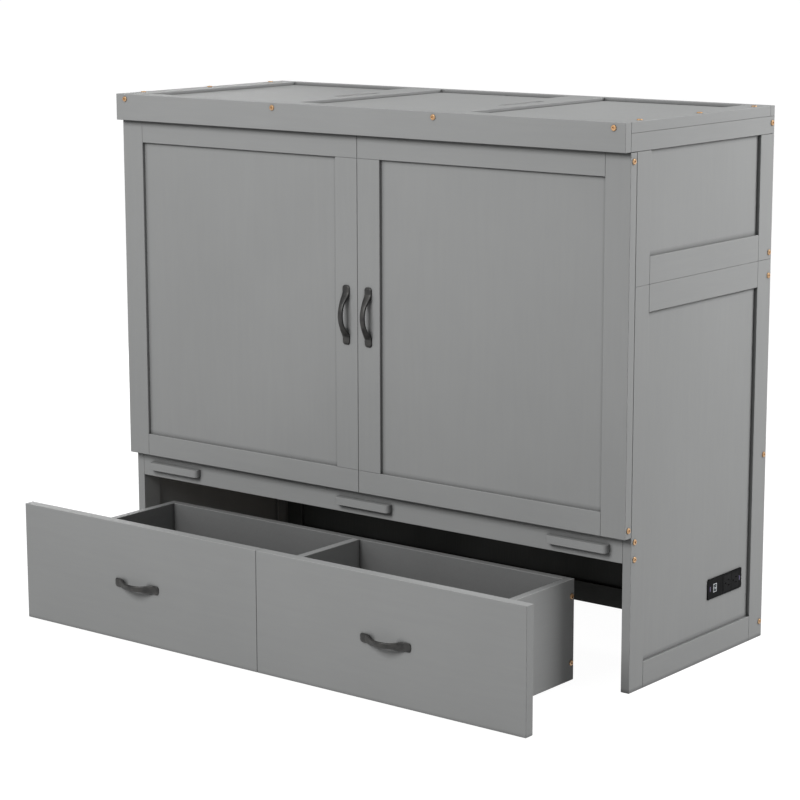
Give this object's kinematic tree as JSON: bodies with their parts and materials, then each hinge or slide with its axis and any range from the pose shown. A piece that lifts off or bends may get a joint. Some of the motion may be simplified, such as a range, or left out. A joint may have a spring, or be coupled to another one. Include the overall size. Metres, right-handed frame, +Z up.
{
  "type": "cabinet bed",
  "caption": "Panelled cabinet bed: lid on top, drop-front cover with fold-out slatted section and legs, wheeled drawer, power station in one side.",
  "frame": {"origin": "under the middle of the resting box, on the floor, with the drawer standing out as in the picture", "axes": "+X to the right of a person facing the front, +Y to the back, +Z up"},
  "size_m": [1.5052, 1.0066, 1.2676],
  "materials": {
    "grey_paint": "satin grey paint",
    "black_board": "matt black board",
    "pine": "sanded softwood",
    "black_metal": "matt black powder coat",
    "copper_bolt": "antique copper plate",
    "steel": "zinc plate",
    "caster_plastic": "matt",
    "station_plastic": "matt black",
    "socket_plastic": "satin black",
    "port_metal": "satin"
  },
  "bodies": {
    "cabinet": {"left_lower_stiles": "grey_paint", "left_lower_rails": "grey_paint", "left_lower_panel": "grey_paint", "left_upper_stiles": "grey_paint", "left_upper_rails": "grey_paint", "left_upper_panel": "grey_paint", "right_lower_stiles": "grey_paint", "right_lower_rails": "grey_paint", "right_lower_panel": "grey_paint", "right_upper_stiles": "grey_paint", "right_upper_rails": "grey_paint", "right_upper_panel": "grey_paint", "back_frame": "black_board", "lower_back_panel": "black_board", "upper_back_panel": "black_board", "apron": "grey_paint", "ledge_bars": "grey_paint", "deck_cleats": "pine", "deck_beam": "pine", "deck_slats": "pine", "cabinet_bolts": "copper_bolt", "lid_hinge_base": "steel", "cover_hinge_base": "steel", "station_housing": "station_plastic", "station_usb_ports": "port_metal", "station_sockets": "socket_plastic"},
    "lid": {"lid_fascia": "grey_paint", "lid_rims": "grey_paint", "lid_frame_rails": "grey_paint", "lid_cross_rails": "grey_paint", "lid_panels": "grey_paint", "lid_bolts": "copper_bolt", "lid_hinge_leaves": "steel"},
    "cover": {"cover_stiles": "grey_paint", "cover_rails": "grey_paint", "cover_panels": "grey_paint", "cover_slats": "pine", "cover_pulls": "black_metal", "cover_bolts": "copper_bolt", "cover_hinge_leaves": "steel", "extension_hinge_base": "steel"},
    "extension": {"extension_frame": "pine", "extension_slats": "pine", "extension_hinge_leaves": "steel", "leg_brackets": "steel"},
    "foot_legs": {"foot_leg_frame": "pine"},
    "middle_legs": {"middle_leg_frame": "pine"},
    "drawer": {"drawer_fronts": "grey_paint", "drawer_sides": "grey_paint", "drawer_back": "grey_paint", "drawer_partition": "grey_paint", "drawer_bottom": "grey_paint", "drawer_pulls": "black_metal", "drawer_bolts": "copper_bolt", "caster_brackets": "steel"},
    "wheel_front_left": {"caster_wheel_front_left": "caster_plastic"},
    "wheel_front_right": {"caster_wheel_front_right": "caster_plastic"},
    "wheel_rear_left": {"caster_wheel_rear_left": "caster_plastic"},
    "wheel_rear_right": {"caster_wheel_rear_right": "caster_plastic"}
  },
  "joints": [
    {"name": "drawer_slide", "type": "slide", "parent": "cabinet", "child": "drawer", "axis": [0, -1, 0], "range_m": [-0.3673, 0.1]},
    {"name": "lid_hinge", "type": "hinge", "parent": "cabinet", "child": "lid", "pos_m": [0, 0.49935, 1.201], "axis": [-1, 0, 0], "range_deg": [0, 95]},
    {"name": "cover_hinge", "type": "hinge", "parent": "cabinet", "child": "cover", "pos_m": [0, -0.08705, 0.3555], "axis": [1, 0, 0], "range_deg": [0, 90]},
    {"name": "fold_out_hinge", "type": "hinge", "parent": "cover", "child": "extension", "pos_m": [0, -0.08305, 1.194], "axis": [1, 0, 0], "range_deg": [0, 180]},
    {"name": "foot_leg_hinge", "type": "hinge", "parent": "extension", "child": "foot_legs", "pos_m": [0, -0.04505, 0.762], "axis": [-1, 0, 0], "range_deg": [0, 90]},
    {"name": "middle_leg_hinge", "type": "hinge", "parent": "extension", "child": "middle_legs", "pos_m": [0, -0.04505, 1.147], "axis": [1, 0, 0], "range_deg": [0, 90]},
    {"name": "caster_front_left_roll", "type": "hinge", "parent": "drawer", "child": "wheel_front_left", "pos_m": [-0.48, -0.39135, 0.02], "axis": [1, 0, 0], "range_deg": [-1062.2, 296.5]},
    {"name": "caster_front_right_roll", "type": "hinge", "parent": "drawer", "child": "wheel_front_right", "pos_m": [0.48, -0.39135, 0.02], "axis": [1, 0, 0], "range_deg": [-1062.2, 296.5]},
    {"name": "caster_rear_left_roll", "type": "hinge", "parent": "drawer", "child": "wheel_rear_left", "pos_m": [-0.48, -0.15735, 0.02], "axis": [1, 0, 0], "range_deg": [-1062.2, 296.5]},
    {"name": "caster_rear_right_roll", "type": "hinge", "parent": "drawer", "child": "wheel_rear_right", "pos_m": [0.48, -0.15735, 0.02], "axis": [1, 0, 0], "range_deg": [-1062.2, 296.5]}
  ],
  "couplings": [
    {"joint": "fold_out_hinge", "follows": "cover_hinge", "ratio": 2},
    {"joint": "caster_front_left_roll", "follows": "drawer_slide", "rad_per_m": 50},
    {"joint": "caster_front_right_roll", "follows": "drawer_slide", "rad_per_m": 50},
    {"joint": "caster_rear_left_roll", "follows": "drawer_slide", "rad_per_m": 50},
    {"joint": "caster_rear_right_roll", "follows": "drawer_slide", "rad_per_m": 50}
  ]
}
